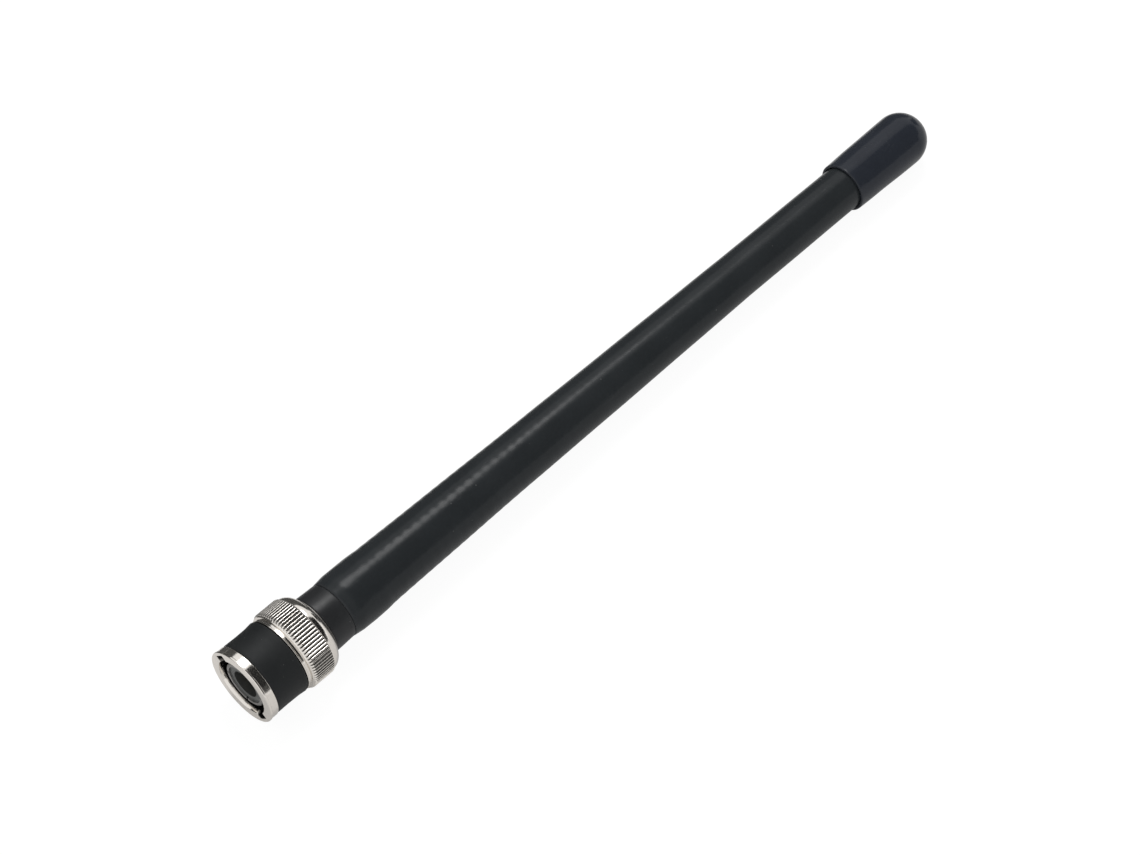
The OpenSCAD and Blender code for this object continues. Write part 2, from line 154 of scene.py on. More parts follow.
def ring_faces(rows: int, columns: int, closed: bool) -> np.ndarray:
    """Quads that join the rows of a turned grid, round the axis and, where closed, last row to first.

    Args:
        rows: number of rows along the profile.
        columns: number of columns round the axis.
        closed: whether the profile is a closed loop.

    Returns:
        Vertex numbers of shape (faces, 4), wound so that a profile that runs along +X faces outwards.
    """
    i = np.arange(rows if closed else rows - 1)[:, None]
    j = np.arange(columns)[None, :]
    k, n = (i + 1) % rows, (j + 1) % columns
    corners = np.broadcast_arrays(i * columns + j, i * columns + n, k * columns + n, k * columns + j)
    return np.stack(corners, axis=-1).reshape(-1, 4)


def add_mesh(name: str, points: np.ndarray, faces: Iterable[Sequence[int]],
             shades: Optional[Dict[str, np.ndarray]] = None) -> bpy.types.Object:
    """Makes a smooth mesh object at the origin.

    Args:
        name: the object's name.
        points: points in metres, of shape (n, 3).
        faces: vertex numbers of each face.
        shades: point attributes by name, one number a point, that its material reads.

    Returns:
        The new object, linked to the scene.
    """
    mesh = bpy.data.meshes.new(name)
    mesh.from_pydata(points.tolist(), [], [tuple(f) for f in np.asarray(faces).tolist()]
                     if isinstance(faces, np.ndarray) else list(faces))
    for key, values in (shades or {}).items():
        layer = mesh.attributes.new(key, "FLOAT", "POINT")
        layer.data.foreach_set("value", np.asarray(values, np.float32).ravel())
    mesh.polygons.foreach_set("use_smooth", np.ones(len(mesh.polygons), bool))
    mesh.validate()
    mesh.update()
    obj = bpy.data.objects.new(name, mesh)
    bpy.context.scene.collection.objects.link(obj)
    return obj


def even_shading(obj: bpy.types.Object) -> None:
    """Weights the normals by face area, so that flats stay flat between their small fillets."""
    weigh = obj.modifiers.new("even_shading", "WEIGHTED_NORMAL")
    weigh.mode, weigh.keep_sharp = "FACE_AREA", False


def place(obj: bpy.types.Object, material: bpy.types.Material, body: Body, slot: Slot,
          *nodes: str) -> None:
    """Gives a new piece its finish and its body, and hides the CAD nodes that it stands for."""
    obj.data.materials.clear()
    obj.data.materials.append(material)
    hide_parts(*nodes)
    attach(obj, body.value)
    log.info("%s: %d faces, stands for %s", obj.name, len(obj.data.polygons), ", ".join(nodes))


# ---------------------------------------------------------------- node work

class Bench:
    """Adds nodes to one node tree, filling or linking their inputs by name."""

    def __init__(self, tree: bpy.types.NodeTree) -> None:
        """Keeps the tree and empties it."""
        self.tree = tree
        tree.nodes.clear()

    def add(self, kind: str, inputs: Optional[Dict[Any, Any]] = None, **fields: Any) -> bpy.types.Node:
        """Adds a node.

        Args:
            kind: the node's type name without the ShaderNode prefix.
            inputs: values or output sockets for its inputs, by name or number.
            fields: properties of the node itself.

        Returns:
            The new node.
        """
        node = self.tree.nodes.new(kind if kind.startswith("NodeGroup") else "ShaderNode" + kind)
        for key, value in fields.items():
            setattr(node, key, value)
        for key, value in (inputs or {}).items():
            if isinstance(value, bpy.types.NodeSocket):
                self.tree.links.new(value, node.inputs[key])
            else:
                node.inputs[key].default_value = value
        return node

    def math(self, operation: str, a: Any, b: Any = 0.0, clamp: bool = False) -> bpy.types.NodeSocket:
        """Joins two values with a Math node and returns its output."""
        return self.add("Math", {0: a, 1: b}, operation=operation, use_clamp=clamp).outputs[0]

    def ramp(self, value: Any, low: float, high: float, to_low: float = 0.0,
             to_high: float = 1.0) -> bpy.types.NodeSocket:
        """Maps a value from one span to another, clamped, and returns the output."""
        node = self.add("MapRange", {0: value, 1: low, 2: high, 3: to_low, 4: to_high})
        return node.outputs[0]

    def mix(self, share: Any, a: Any, b: Any) -> bpy.types.NodeSocket:
        """Mixes two colours by a share and returns the output."""
        node = self.add("Mix", data_type="RGBA")
        for index, value in ((0, share), (6, a), (7, b)):
            if isinstance(value, bpy.types.NodeSocket):
                self.tree.links.new(value, node.inputs[index])
            elif index == 0:
                node.inputs[index].default_value = value
            else:
                node.inputs[index].default_value = (*value, 1.0)
        return node.outputs[2]

    def noise(self, vector: Any, scale: float, detail: float = 2.0, rough: float = 0.5) -> bpy.types.NodeSocket:
        """Adds a noise texture and returns its value."""
        return self.add("TexNoise", {"Vector": vector, "Scale": scale, "Detail": detail,
                                     "Roughness": rough}).outputs[0]


def new_group(name: str, ins: Sequence[Tuple[str, str, float]],
              outs: Sequence[Tuple[str, str]]) -> Tuple[bpy.types.NodeTree, Bench, bpy.types.Node]:
    """Starts a shader node group with named sockets.

    Args:
        name: the group's name.
        ins: name, socket kind and default of each input. A vector's default is left out.
        outs: name and socket kind of each output.

    Returns:
        The group, its bench and its input node.
    """
    tree = bpy.data.node_groups.new(name, "ShaderNodeTree")
    for label, kind, value in ins:
        socket = tree.interface.new_socket(label, in_out="INPUT", socket_type="NodeSocket" + kind)
        if kind == "Float":
            socket.default_value = value
    for label, kind in outs:
        tree.interface.new_socket(label, in_out="OUTPUT", socket_type="NodeSocket" + kind)
    bench = Bench(tree)
    return tree, bench, bench.add("NodeGroupInput")


def close_group(bench: Bench, outputs: Dict[str, bpy.types.NodeSocket]) -> None:
    """Links a group's results to its output node."""
    bench.add("NodeGroupOutput", dict(outputs))


def dust_group() -> bpy.types.NodeTree:
    """Dust specks: Voronoi cells whose centre lies within Size of the point, in the share Amount of
    the cells, at Scale cells a millimetre. Gives a mask."""
    tree, b, given = new_group("dust_specks", [("Vector", "Vector", 0), ("Scale", "Float", 1.0),
                                               ("Size", "Float", 0.1), ("Amount", "Float", 0.3)],
                               [("Mask", "Float")])
    cells = b.add("TexVoronoi", {"Vector": given.outputs[0], "Scale": given.outputs[1]},
                  feature="F1")
    near = b.add("MapRange", {0: cells.outputs["Distance"], 1: given.outputs[2], 2: 0.0, 3: 0.0, 4: 1.0})
    lot = b.add("SeparateColor", {0: cells.outputs["Color"]}).outputs[0]
    kept = b.math("LESS_THAN", lot, given.outputs[3])
    close_group(b, {"Mask": b.math("MULTIPLY", near.outputs[0], kept, clamp=True)})
    return tree


def hairline_group() -> bpy.types.NodeTree:
    """Hairline scratches: the zero lines of a noise that is stretched along X, where a second noise
    is high. Gives a mask."""
    tree, b, given = new_group("hairlines", [("Vector", "Vector", 0), ("Scale", "Float", 1.0),
                                             ("Width", "Float", 0.01), ("Amount", "Float", 0.5)],
                               [("Mask", "Float")])
    bent = b.add("VectorMath", {0: given.outputs[0], 1: (0.12, 1.0, 1.0)}, operation="MULTIPLY").outputs[0]
    base = b.add("TexNoise", {"Vector": bent, "Scale": given.outputs[1], "Detail": 1.0}).outputs[0]
    off = b.math("ABSOLUTE", b.math("SUBTRACT", base, 0.5))
    line = b.add("MapRange", {0: off, 1: given.outputs[2], 2: 0.0, 3: 0.0, 4: 1.0}).outputs[0]
    where = b.add("TexNoise", {"Vector": given.outputs[0], "Scale": 0.35, "Detail": 2.0}).outputs[0]
    kept = b.math("GREATER_THAN", where, b.math("SUBTRACT", 1.0, given.outputs[3]))
    close_group(b, {"Mask": b.math("MULTIPLY", line, kept, clamp=True)})
    return tree


def mottle_group() -> bpy.types.NodeTree:
    """Uneven handling marks: a broad noise and a fine one, weighed 2 to 1. Gives a value about 0.5."""
    tree, b, given = new_group("mottle", [("Vector", "Vector", 0), ("Scale", "Float", 1.0)],
                               [("Value", "Float")])
    broad = b.add("TexNoise", {"Vector": given.outputs[0], "Scale": given.outputs[1], "Detail": 3.0}).outputs[0]
    fine_scale = b.math("MULTIPLY", given.outputs[1], 9.0)
    fine = b.add("TexNoise", {"Vector": given.outputs[0], "Scale": fine_scale, "Detail": 2.0}).outputs[0]
    both = b.math("ADD", b.math("MULTIPLY", broad, 0.667), b.math("MULTIPLY", fine, 0.333))
    close_group(b, {"Value": both})
    return tree


class Effects:
    """The node groups that several finishes share, built once."""

    def __init__(self) -> None:
        """Builds the groups."""
        self.dust = dust_group()
        self.hairlines = hairline_group()
        self.mottle = mottle_group()


class Dressing:
    """One material: its tree, its Principled shader and its coordinates in millimetres."""

    def __init__(self, name: str, effects: Effects) -> None:
        """Starts the material.

        Args:
            name: the material's name.
            effects: the shared node groups.
        """
        self.material = bpy.data.materials.new(name)
        self.material.use_nodes = True
        self.effects = effects
        self.b = Bench(self.material.node_tree)
        self.shader = self.b.add("BsdfPrincipled")
        self.b.add("OutputMaterial", {"Surface": self.shader.outputs[0]})
        where = self.b.add("TexCoord").outputs["Object"]
        self.mm = self.b.add("VectorMath", {0: where, 1: (1000.0,) * 3}, operation="MULTIPLY").outputs[0]

    def group(self, tree: bpy.types.NodeTree, **values: float) -> bpy.types.NodeSocket:
        """Places a shared group on the millimetre coordinates and returns its first output."""
        node = self.b.add("Group", node_tree=tree)
        self.b.tree.links.new(self.mm, node.inputs["Vector"])
        for key, value in values.items():
            node.inputs[key].default_value = value
        return node.outputs[0]

    def set(self, **values: Any) -> None:
        """Sets or links the shader's sockets; an underscore stands for a space."""
        for key, value in values.items():
            socket = self.shader.inputs[key.replace("_", " ")]
            if isinstance(value, bpy.types.NodeSocket):
                self.b.tree.links.new(value, socket)
            elif isinstance(value, tuple):
                socket.default_value = (*value, 1.0)
            else:
                socket.default_value = value

    def bump(self, height: Any, depth_mm: float, strength: float = 1.0) -> None:
        """Feeds a Bump node of that depth from a height and links it to the shader's normal."""
        node = self.b.add("Bump", {"Strength": strength, "Distance": depth_mm * MM, "Height": height})
        self.set(Normal=node.outputs[0])


@dataclass(frozen=True)
class NickelPlate:
    """Bright nickel over turned brass, with tool rings, hairlines, and painted shade in its recesses."""

    name: str = "nickel_plate"
    colour: Colour = (0.785, 0.748, 0.70)
    roughness: float = 0.13

    def material(self, effects: Effects) -> bpy.types.Material:
        """Builds the material.

        Args:
            effects: the shared node groups.

        Returns:
            The nickel material. It reads a point attribute that is 1 where painted shade makes it near-black.
        """
        d = Dressing(self.name, effects)
        b = d.b
        mottle = d.group(effects.mottle, Scale=0.22)
        lines = d.group(effects.hairlines, Scale=2.6, Width=0.006, Amount=0.46)
        # Painted shade: the point attribute mixes the nickel towards near-black and roughens it there.
        shade_mask = b.add("Attribute", attribute_name="painted_shade").outputs["Fac"]
        tone = b.mix(b.ramp(mottle, 0.35, 0.65), self.colour, tuple(c * 0.95 for c in self.colour))
        d.set(Base_Color=b.mix(shade_mask, tone, (0.016, 0.016, 0.016)), Metallic=1.0)
        rough = b.ramp(mottle, 0.3, 0.7, self.roughness * 0.8, self.roughness * 1.35)
        rough = b.math("ADD", rough, b.math("MULTIPLY", shade_mask, 0.4))
        d.set(Roughness=b.math("ADD", rough, b.math("MULTIPLY", lines, 0.10), clamp=True))
        d.bump(b.math("SUBTRACT", b.noise(d.mm, 1.1, 3.0), b.math("MULTIPLY", lines, 0.4)), 0.002, 0.25)
        return d.material


@dataclass(frozen=True)
class BlackPolymer:
    """A black rubber or plastic with fine grain, dust, hairlines and handling marks."""

    name: str
    colour: Colour
    roughness: float
    specular: float
    grain_per_mm: float
    grain_depth_mm: float
    dust: float
    dust_size: float = 0.09
    worn: Colour = (0.06, 0.062, 0.066)
    coat: float = 0.0
    coat_roughness: float = 0.1

    def material(self, effects: Effects) -> bpy.types.Material:
        """Builds the material.

        Args:
            effects: the shared node groups.

        Returns:
            The polymer's material. It reads the point attribute "rub", 1 on rubbed edges.
        """
        d = Dressing(self.name, effects)
        b = d.b
        mottle = d.group(effects.mottle, Scale=0.16)
        specks = d.group(effects.dust, Scale=0.75, Size=self.dust_size, Amount=self.dust)
        lines = d.group(effects.hairlines, Scale=1.7, Width=0.004, Amount=0.44)
        rub = b.add("Attribute", attribute_name="rub").outputs["Fac"]
        tone = b.mix(b.ramp(mottle, 0.38, 0.62), tuple(c * 0.88 for c in self.colour), self.colour)
        worn = b.math("MAXIMUM", b.math("MULTIPLY", lines, 0.35), b.math("MULTIPLY", rub, 0.5), clamp=True)
        tone = b.mix(worn, tone, self.worn)
        d.set(Base_Color=b.mix(b.math("MULTIPLY", specks, 0.55), tone, (0.30, 0.30, 0.29)))
        rough = b.ramp(mottle, 0.35, 0.65, self.roughness * 0.88, self.roughness * 1.14)
        d.set(Roughness=b.math("ADD", rough, b.math("MULTIPLY", specks, 0.3), clamp=True))
        d.set(Specular_IOR_Level=self.specular)
        if self.coat:
            d.set(Coat_Weight=self.coat, Coat_Roughness=self.coat_roughness)
        grain = b.noise(d.mm, self.grain_per_mm, 3.0, 0.6)
        height = b.math("ADD", grain, b.math("MULTIPLY", specks, 0.8))
        d.bump(b.math("SUBTRACT", height, b.math("MULTIPLY", lines, 0.4)), self.grain_depth_mm)
        return d.material


@dataclass(frozen=True)
class InnerMetal:
    """A plated or drawn metal inside the plug: gold, brass, steel or copper, with tarnish."""

    name: str
    colour: Colour
    tarnish: Colour
    roughness: float

    def material(self, effects: Effects) -> bpy.types.Material:
        """Builds the material.

        Args:
            effects: the shared node groups.

        Returns:
            The metal's material.
        """
        d = Dressing(self.name, effects)
        b = d.b
        mottle = d.group(effects.mottle, Scale=0.5)
        lines = d.group(effects.hairlines, Scale=3.0, Width=0.008, Amount=0.5)
        d.set(Metallic=1.0, Base_Color=b.mix(b.ramp(mottle, 0.42, 0.68), self.colour, self.tarnish))
        rough = b.ramp(mottle, 0.3, 0.7, self.roughness * 0.8, self.roughness * 1.4)
        d.set(Roughness=b.math("ADD", rough, b.math("MULTIPLY", lines, 0.15), clamp=True))
        d.bump(b.math("SUBTRACT", b.noise(d.mm, 6.0, 3.0), lines), 0.004)
        return d.material


@dataclass(frozen=True)
class InnerResin:
    """A turned or moulded resin or silicone inside the plug."""

    name: str
    colour: Colour
    shade: Colour
    roughness: float
    specular: float = 0.4
    well_shade_mm: float = 0.0

    def material(self, effects: Effects) -> bpy.types.Material:
        """Builds the material.

        Args:
            effects: the shared node groups.

        Returns:
            The resin's material.
        """
        d = Dressing(self.name, effects)
        b = d.b
        mottle = d.group(effects.mottle, Scale=0.4)
        specks = d.group(effects.dust, Scale=1.4, Size=0.1, Amount=0.2)
        tone = b.mix(b.ramp(mottle, 0.35, 0.65), self.shade, self.colour)
        # Painted shade: the colour darkens to 55 % within the given radius of the axis, where the insulator's well
        # lies.
        if self.well_shade_mm:
            off_axis = b.add("VectorMath", {0: d.mm, 1: (0.0, 1.0, 1.0)}, operation="MULTIPLY").outputs[0]
            radius = b.add("VectorMath", {0: off_axis}, operation="LENGTH").outputs["Value"]
            inside = b.ramp(radius, self.well_shade_mm, self.well_shade_mm + 0.25, 1.0, 0.0)
            tone = b.mix(inside, tone, tuple(c * 0.55 for c in self.colour))
        d.set(Base_Color=b.mix(b.math("MULTIPLY", specks, 0.4), tone, (0.42, 0.41, 0.39)))
        d.set(Roughness=b.ramp(mottle, 0.3, 0.7, self.roughness * 0.85, self.roughness * 1.15))
        d.set(Specular_IOR_Level=self.specular)
        d.bump(b.noise(d.mm, 5.0, 3.0), 0.008)
        return d.material


class Finishes:
    """Every finish of the antenna, built once."""

    def __init__(self) -> None:
        """Builds the materials."""
        fx = Effects()
        self.nickel = NickelPlate().material(fx)
        self.contact = InnerMetal("dull_contact_nickel", (0.30, 0.295, 0.29), (0.22, 0.215, 0.21), 0.5).material(fx)
        self.gold = InnerMetal("gold_flash", (0.86, 0.63, 0.28), (0.66, 0.45, 0.20), 0.18).material(fx)
        self.brass = InnerMetal("turned_brass", (0.72, 0.55, 0.27), (0.50, 0.35, 0.17), 0.26).material(fx)
        self.steel = InnerMetal("spring_steel", (0.52, 0.52, 0.51), (0.36, 0.35, 0.33), 0.24).material(fx)
        self.copper = InnerMetal("enamelled_copper", (0.62, 0.29, 0.16), (0.42, 0.17, 0.09), 0.22).material(fx)
        # The insulator gets painted shade within 2.5 mm of the axis, in its well.
        self.insulator = InnerResin("grey_insulator", (0.105, 0.11, 0.107), (0.085, 0.09, 0.087), 0.45,
                                    well_shade_mm=2.5).material(fx)
        self.silicone = InnerResin("silicone_ring", (0.27, 0.055, 0.04), (0.20, 0.04, 0.03), 0.42).material(fx)
        self.rod = InnerResin("core_rod", (0.62, 0.60, 0.54), (0.52, 0.50, 0.45), 0.45).material(fx)
        self.sleeve = BlackPolymer("sleeve_rubber", (0.0180, 0.0198, 0.0208), 0.50, 0.17, 7.0, 0.010, 0.30, 0.06).material(fx)
        self.neck = BlackPolymer("moulded_neck", (0.0250, 0.0262, 0.0280), 0.33, 0.21, 2.2, 0.005, 0.12).material(fx)
        self.shrink = BlackPolymer("shrink_tube", (0.0264, 0.0301, 0.0328), 0.24, 0.135, 1.1, 0.008, 0.20).material(fx)
        self.vinyl = BlackPolymer("dipped_vinyl", (0.0262, 0.0305, 0.0400), 0.18, 0.16, 0.5, 0.022, 0.12).material(fx)


def dress(material: bpy.types.Material, *nodes: str) -> None:
    """Gives CAD nodes that stay as they are a finish."""
    for name in nodes:
        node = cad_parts[name]
        node.data.materials.clear()
        node.data.materials.append(material)
        log.info("%s: CAD solid, finish %s", name, material.name)


# ---------------------------------------------------------------- sub-assemblies

@dataclass
class CouplingNut:
    """The bayonet nut with its rubber sleeve."""

    bore_r: float = 4.9
    mouth_flare: float = 0.19
    ring_r: float = 6.6
    ring_len: float = 1.68
    bead_r: float = 6.7
    bead_len: float = 0.4
    recess_r: float = 5.97
    sleeve_end: float = 7.88
    waist_r: float = 6.48
    knurl_start: float = 8.8
    knurl_end: float = 13.08
    knurl_r: float = 7.1
    root_r: float = 6.86
    valley_depth: float = 0.2
    run_in: float = 0.16
    ribs: int = 77
    tail_len: float = 1.82
    lip_r: float = 5.5
    nut_len: float = 15.1
    flange_z: float = 12.2
    flange_r: float = 4.15
    notch_r: float = 5.9
    notch_half: float = 1.1
    notch_roll: float = 132.0
    notch_len: float = 3.8
    lit_depth: float = 0.62

    def outline(self) -> np.ndarray:
        """The nut's closed section (along, radius), from the mouth's edge round the outside and back.

        Returns:
            The rounded section without its ribs.
        """
        r, e = self.ring_r, self.sleeve_end
        start, end = self.knurl_start, self.knurl_end
        valley = self.knurl_r - self.valley_depth
        front = rounded([(0.03, self.bore_r + self.mouth_flare - 0.02), (0.0, self.bore_r + self.mouth_flare),
                         (0.0, self.bead_r),
                         (self.bead_len - 0.05, self.bead_r), (self.bead_len, r), (self.ring_len - 0.4, r)], 0.19, 7)
        ring_back = rounded([(self.ring_len - 0.4, r), (self.ring_len, r), (self.ring_len, self.recess_r),
                             (4.9, self.recess_r)], 0.27, 7)
        neck = rounded([(4.9, self.recess_r), (e, self.recess_r), (e, r), (e + 0.18, r),
                        (e + 0.25, self.waist_r), (start - 0.26, self.waist_r), (start - 0.17, self.root_r - 0.02),
                        (start, self.root_r), (start + 0.03, valley), (start + 0.3, valley)], 0.06, 4)
        grip = refined(np.array([(start + 0.3, valley), (end - 0.3, valley)]), 0.5)
        drop = self.root_r - self.lip_r
        bend = (self.tail_len ** 2 + drop ** 2) / (2 * drop)
        q = np.linspace(0.0, math.asin(self.tail_len / bend), 12)
        tail = np.stack([end + bend * np.sin(q), self.root_r - bend + bend * np.cos(q)], axis=1)
        rib_back = rounded([(end - 0.3, valley), (end - self.run_in, valley), tuple(tail[0]), tuple(tail[1])], 0.05, 3)
        back = rounded([tuple(tail[-2]), tuple(tail[-1]), (end + self.tail_len + 0.03, self.lip_r),
                        (self.nut_len, self.lip_r), (self.nut_len, self.flange_r), (self.flange_z, self.flange_r),
                        (self.flange_z, self.bore_r), (self.notch_len + 1.1, self.bore_r)], 0.07, 3)
        mouth = refined(np.array([(self.notch_len + 1.1, self.bore_r), (self.notch_len, self.bore_r)]), 0.2)
        lead = np.array([(2.4, self.bore_r), (1.2, self.bore_r), (self.lit_depth + 0.1, self.bore_r),
                         (self.lit_depth, self.bore_r), (0.16, self.bore_r + 0.7 * self.mouth_flare),
                         (0.08, self.bore_r + 0.8 * self.mouth_flare)])
        parts = (front, ring_back[1:], neck[1:], grip[1:], rib_back[1:], tail[2:-2], back, mouth[1:], lead)
        return np.concatenate(parts)

    def rib_share(self, turn: np.ndarray) -> np.ndarray:
        """Height share of the ribs: with u the place in one pitch from -0.5 to 0.5, a shallow roof falls
        from 1 on the crest to 0.78 at |u| = 0.25, and a steep side falls from there to 0 at |u| = 0.28."""
        u = np.abs((turn * self.ribs / math.tau + 0.5) % 1.0 - 0.5)
        return np.interp(u, [0.03, 0.25, 0.28], [1.0, 0.78, 0.0])

    def valley_shade(self, turn: np.ndarray) -> np.ndarray:
        """How much painted shade darkens the ribs at an angle: strong in the valleys, weak between
        268 and 300 degrees, and climbing onto the ribs' roofs round 150 degrees."""
        sector, share = np.degrees(turn) % 360.0, self.rib_share(turn)
        amount = np.interp(sector, [236.0, 268.0, 300.0, 330.0], [0.94, 0.2, 0.2, 0.94])
        climbed = np.interp(sector, [112.0, 130.0, 160.0, 176.0], [0.0, 0.84, 0.84, 0.0])
        return np.where(share < 0.7, amount, climbed * (share < 0.9))

    def run_out(self, x: np.ndarray) -> np.ndarray:
        """Height share of the ribs along the nut: from 0 to 1 over the run-in at both ends of the grip."""
        lead_in = np.clip((x - self.knurl_start - 0.03) / self.run_in, 0.0, 1.0)
        return lead_in * np.clip((self.knurl_end - 0.03 - x) / self.run_in, 0.0, 1.0)

    def notch_reach(self, turn: np.ndarray) -> np.ndarray:
        """Radius of the bore at an angle: the bore, and in the two notches the flat floor or the side.

        With d the angle from a notch's middle, it is the lesser of notch_r / cos d and
        notch_half / |sin d|, and never less than the bore.
        """
        d = (turn - math.radians(self.notch_roll) + math.pi / 2) % math.pi - math.pi / 2
        reach = np.minimum(self.notch_r / np.cos(d), self.notch_half / np.maximum(np.abs(np.sin(d)), 1e-6))
        return np.maximum(self.bore_r, np.minimum(reach, self.recess_r - 0.02))

    def build_shell(self) -> bpy.types.Object:
        """Builds the nut as one closed grid: the section carried round the axis, with the ribs added to
        the radius on the grip and the notches on the bore.

        Returns:
            The nut's mesh object, with a point attribute of painted shade for its material.
        """
        line = self.outline()
        pitch = math.tau / self.ribs
        steps = np.array([-0.5, -0.28, -0.25, -0.03, 0.03, 0.25, 0.28])
        turn = ((np.arange(self.ribs)[:, None] + steps[None, :]) * pitch).ravel()[None, :]
        x, r = line[:, :1], line[:, 1:]
        outer = (r > self.bore_r + 1.5) & (x > self.knurl_start) & (x < self.knurl_end)
        lift = self.valley_depth * self.rib_share(turn) * self.run_out(x) * outer
        radius = r + lift
        inner = (r < self.bore_r + 0.25) & (x < self.notch_len + 1.15)
        fade = 1.0 - smoothstep((x - self.notch_len) / 1.1)
        reach = self.bore_r + (self.notch_reach(turn) - self.bore_r) * fade
        notch = inner & (reach > self.bore_r + 0.1)
        radius = np.where(inner, np.maximum(radius, reach + (r - self.bore_r)), radius)
        # Painted shade on the grip: near-black in the rib valleys, varied by angle.
        valley = self.valley_shade(turn) * self.run_out(x) * outer
        # Painted shade in the mouth: dark along the bore beyond lit_depth, and in the notches from just inside their
        # front edge.
        shade = np.where(x > self.lit_depth + 0.05, 1.0, 0.0) * inner
        mouth_shade = np.where(notch, np.maximum(shade, smoothstep(x / 0.14)), shade)
        # Painted shade at 0.8 on every face nearer the axis than the sleeve's recess, behind the front ring: under the
        # sleeve, along the bore and at the nut's rear end.
        hidden_shade = 0.8 * ((r < self.recess_r + 0.1) & (x > self.ring_len + 0.02))
        points = turned(x, radius, turn)
        obj = add_mesh("nut_shell", points, ring_faces(len(line), turn.size, True),
                       {"painted_shade": np.maximum(np.maximum(valley, mouth_shade), hidden_shade)})
        even_shading(obj)
        return obj

    def build_sleeve(self) -> bpy.types.Object:
        """Builds the rubber sleeve: a closed tube with a slight waist that flares to a lip at its rear.

        Returns:
            The sleeve's mesh object.
        """
        start, end, inner = self.ring_len + 0.05, self.sleeve_end - 0.13, self.recess_r + 0.03
        skin = rounded([(start, inner), (start, 6.47), (start + 0.5, 6.52), (start + 2.4, 6.49), (end - 1.5, 6.53),
                        (end - 0.5, 6.63), (end - 0.2, 6.67), (end, 6.5), (end, inner), (end - 2.5, inner),
                        (start + 1.0, inner)], 0.16, 5)
        line = refined(skin, 0.4)
        turn = np.linspace(0.0, math.tau, 192, endpoint=False)[None, :]
        outer = smoothstep((line[:, 1:] - inner - 0.2) / 0.3)
        sag = 0.012 * np.sin(3 * turn + 0.8) + 0.008 * np.sin(5 * turn - line[:, :1])
        points = turned(line[:, :1], line[:, 1:] + sag * outer, turn)
        rub = outer * np.exp(-((line[:, :1] - end) / 0.18) ** 2) + 0 * turn
        obj = add_mesh("ramp_sleeve", points, ring_faces(len(line), turn.size, True), {"rub": rub * 0.5})
        even_shading(obj)
        return obj

    def build(self, finishes: Finishes) -> None:
        """Builds and places both pieces on the nut's body."""
        place(self.build_shell(), finishes.nickel, Body.NUT, Slot.NICKEL, "coupling_nut")
        place(self.build_sleeve(), finishes.sleeve, Body.NUT, Slot.SLEEVE_RUBBER, "nut_sleeve")


@dataclass
class PlugInside:
    """The plug's own turned, pressed and moulded pieces, whose CAD solids keep their shape."""

    def build(self, finishes: Finishes) -> None:
        """Dresses the solids inside the plug."""
        dress(finishes.contact, "outer_contact")
        dress(finishes.nickel, "plug_body")
        dress(finishes.insulator, "front_insulator", "rear_insulator")
        dress(finishes.silicone, "face_gasket")
        dress(finishes.gold, "centre_pin")
        dress(finishes.brass, "feed_stud")
        dress(finishes.steel, "thrust_washer")


@dataclass
class WaveSpring:
    """The wave washer, which the nut flattens against the plug's head as it is pulled forward; its mesh keeps the rest
    shape.
    """

    waves: int = 3
    strip: float = 0.6
    thickness: float = 0.25
    travel: float = 0.6
    columns: int = 144

    def build(self, finishes: Finishes) -> None:
        """Builds the spring: the strip's rounded section carried round the axis in waves."""
        low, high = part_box("wave_washer")
        near, far, outer = low.x / MM, high.x / MM, high.y / MM
        inner, t = outer - self.strip, self.thickness
        line = rounded([(t / 2, outer), (t, outer), (t, inner), (0.0, inner), (0.0, outer), (t / 2 - 0.02, outer)],
                       0.05, 2)
        turn = np.linspace(0.0, math.tau, self.columns, endpoint=False)[None, :]
        lift = (far - near - t) / 2 * (1.0 + np.sin(self.waves * turn))
        obj = add_mesh("wave_spring", turned(near + lift + line[:, :1], line[:, 1:] + 0 * turn, turn),
                       ring_faces(len(line), self.columns, True))
        even_shading(obj)
        place(obj, finishes.steel, Body.WHIP, Slot.SPRING, "wave_washer")
        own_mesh(obj)


@dataclass
class Neck:
    """The black moulded neck behind the nut."""

    start: float = 15.25
    front_r: float = 5.15
    jacket_z: float = 19.32
    end_r: float = 5.0
    rebate_r: float = 4.62
    rebate_end: float = 26.45
    bore_r: float = 4.08

    def build(self, finishes: Finishes) -> None:
        """Builds the neck: its closed section carried round the axis, slightly out of round."""
        skin = rounded([(self.start, self.bore_r), (self.start, self.front_r), (self.start + 0.5, self.front_r - 0.01),
                        (self.jacket_z, self.end_r), (self.jacket_z, self.rebate_r), (self.rebate_end, self.rebate_r),
                        (self.rebate_end, self.bore_r), (self.start + 2.0, self.bore_r)], 0.2, 5)
        line = refined(skin, 0.6)
        turn = np.linspace(0.0, math.tau, 160, endpoint=False)[None, :]
        outer = smoothstep((line[:, 1:] - self.rebate_r) / 0.4)
        sag = 0.010 * np.sin(2 * turn + 1.1) + 0.006 * np.sin(7 * turn + 2 * line[:, :1])
        points = turned(line[:, :1], line[:, 1:] + (sag - 0.01) * outer, turn)
        obj = add_mesh("neck_moulding", points, ring_faces(len(line), turn.size, True))
        even_shading(obj)
        place(obj, finishes.neck, Body.WHIP, Slot.NECK_PLASTIC, "base_collar")


